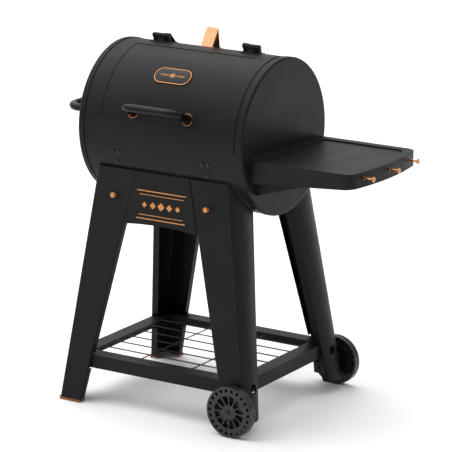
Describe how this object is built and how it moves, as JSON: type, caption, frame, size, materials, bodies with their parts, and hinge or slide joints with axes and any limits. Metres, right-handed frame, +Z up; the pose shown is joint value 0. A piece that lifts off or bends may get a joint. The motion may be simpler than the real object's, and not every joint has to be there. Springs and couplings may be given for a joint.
{
  "type": "barrel charcoal grill",
  "caption": "Barrel charcoal grill with a hinged curved lid on a splayed-leg cart, with a side shelf, wire bottom shelf, wheels and hanging pegs.",
  "frame": {"origin": "on the floor, midway along the whole grill and midway from front to back, the barrel's axis being above the X axis and its own middle 136 mm to -X of the origin", "axes": "+X towards the side shelf and the wheels, +Y from the lid handle side to the back, +Z up"},
  "size_m": [1.162, 0.668, 1.1957],
  "materials": {
    "powder_black": "satin black powder coat",
    "wire_black": "satin black dipped wire",
    "handle_black": "gloss black enamel",
    "copper": "satin copper plate",
    "polished_copper": "polished copper plate",
    "copper_plastic": "copper coloured plastic",
    "badge_black": "domed gloss black",
    "wheel_plastic": "moulded black plastic",
    "black_fastener": "black oxide",
    "zinc_fastener": "zinc plated",
    "grate_enamel": "porcelain enamelled",
    "bare_steel": "bare steel, lightly heat stained"
  },
  "bodies": {
    "cart": {"barrel_shell": "powder_black", "end_cap_left": "powder_black", "end_cap_right": "powder_black", "leg_front_left": "powder_black", "leg_front_right": "powder_black", "leg_rear_left": "powder_black", "leg_rear_right": "powder_black", "apron_front": "powder_black", "apron_rear": "powder_black", "rail_front": "powder_black", "rail_rear": "powder_black", "rail_left": "powder_black", "rail_right": "powder_black", "side_shelf": "powder_black", "shelf_bracket_front": "powder_black", "shelf_bracket_rear": "powder_black", "hinge_leaves_barrel": "powder_black", "wire_shelf": "wire_black", "carry_handle": "handle_black", "lid_stop": "copper", "apron_emblem": "polished_copper", "shelf_pegs": "polished_copper", "leg_pegs": "polished_copper", "foot_cap_front": "copper_plastic", "foot_cap_rear": "copper_plastic", "hinge_pins": "black_fastener", "hanger_screws": "black_fastener", "apron_bolts": "black_fastener", "shelf_bracket_bolts": "black_fastener", "carry_handle_bolts": "black_fastener", "damper_rivets": "black_fastener", "axle_front": "black_fastener", "axle_rear": "black_fastener", "rail_studs": "black_fastener", "axle_brackets": "black_fastener", "axle_nuts": "black_fastener", "axle_washers": "zinc_fastener", "shelf_nuts": "zinc_fastener", "lid_stop_screws": "zinc_fastener", "cooking_grate_left": "grate_enamel", "cooking_grate_right": "grate_enamel", "fire_grate": "bare_steel", "grate_ledge_front": "bare_steel", "grate_ledge_rear": "bare_steel", "grate_hangers": "bare_steel", "ash_pan": "bare_steel"},
    "lid": {"lid_panel": "powder_black", "lid_handle": "handle_black", "handle_rings": "polished_copper", "handle_ferrules": "handle_black", "handle_bolts": "zinc_fastener", "badge_frame": "polished_copper", "badge_plate": "badge_black", "hinge_leaves_lid": "powder_black"},
    "front_wheel": {"wheel_front": "wheel_plastic"},
    "rear_wheel": {"wheel_rear": "wheel_plastic"},
    "lower_damper": {"damper_lower": "powder_black"},
    "upper_damper": {"damper_upper": "powder_black"}
  },
  "joints": [
    {"name": "lid_hinge", "type": "hinge", "parent": "cart", "child": "lid", "pos_m": [-0.136, 0.0235, 1.1585], "axis": [-1, 0, 0], "range_deg": [0, 155]},
    {"name": "front_wheel_spin", "type": "hinge", "parent": "cart", "child": "front_wheel", "pos_m": [0.1758, -0.32, 0.082], "axis": [0, 1, 0], "continuous": true},
    {"name": "rear_wheel_spin", "type": "hinge", "parent": "cart", "child": "rear_wheel", "pos_m": [0.1758, 0.32, 0.082], "axis": [0, 1, 0], "continuous": true},
    {"name": "lower_damper_turn", "type": "hinge", "parent": "cart", "child": "lower_damper", "pos_m": [-0.443, 0, 0.744], "axis": [1, 0, 0], "range_deg": [0, 60]},
    {"name": "upper_damper_turn", "type": "hinge", "parent": "cart", "child": "upper_damper", "pos_m": [-0.443, 0, 1.04], "axis": [1, 0, 0], "range_deg": [0, 60]}
  ]
}
